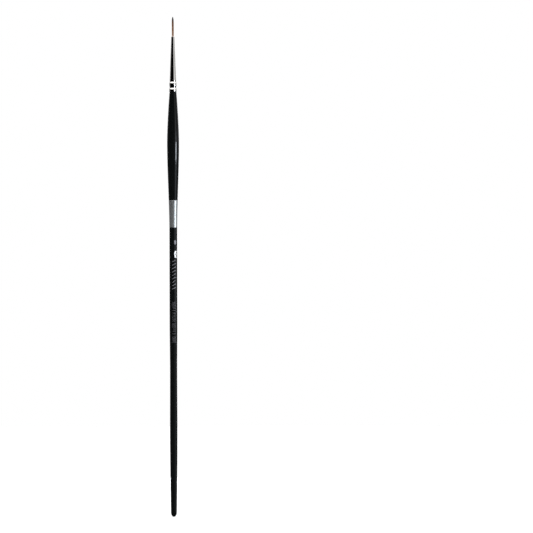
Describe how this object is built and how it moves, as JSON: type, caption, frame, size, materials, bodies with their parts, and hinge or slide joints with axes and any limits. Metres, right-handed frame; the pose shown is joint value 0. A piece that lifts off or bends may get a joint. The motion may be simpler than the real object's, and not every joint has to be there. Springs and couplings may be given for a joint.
{
  "type": "fine detail brush",
  "caption": "Slim round detail brush with a long black lacquered handle, a silver band, a crimped metal ferrule and a small brown tuft.",
  "frame": {"origin": "centre of the rounded butt's end, on the brush's axis", "axes": "+Z along the brush from the butt to the tip of the hair; the tuft bends in the XZ plane, about Y"},
  "size_m": [0.0072, 0.0072, 0.3],
  "materials": {
    "lacquer": "gloss",
    "band": "satin",
    "nickel": "polished",
    "wood": "matte",
    "glue": "satin",
    "resin": "gloss",
    "thread": "matte",
    "hair": "satin"
  },
  "bodies": {
    "brush": {"handle_core": "wood", "rear_lacquer": "lacquer", "silver_band": "band", "front_lacquer": "lacquer", "ferrule": "nickel", "handle_glue": "glue", "root_resin": "resin", "binding_thread": "thread", "hair_root": "hair"},
    "tuft": {"hair_tuft": "hair"}
  },
  "joints": [
    {"name": "tuft_flex", "type": "hinge", "parent": "brush", "child": "tuft", "pos_m": [0, 0, 0.28835], "axis": [0, 1, 0], "range_deg": [-45, 45], "stiffness_Nm_per_rad": 0.00008}
  ]
}
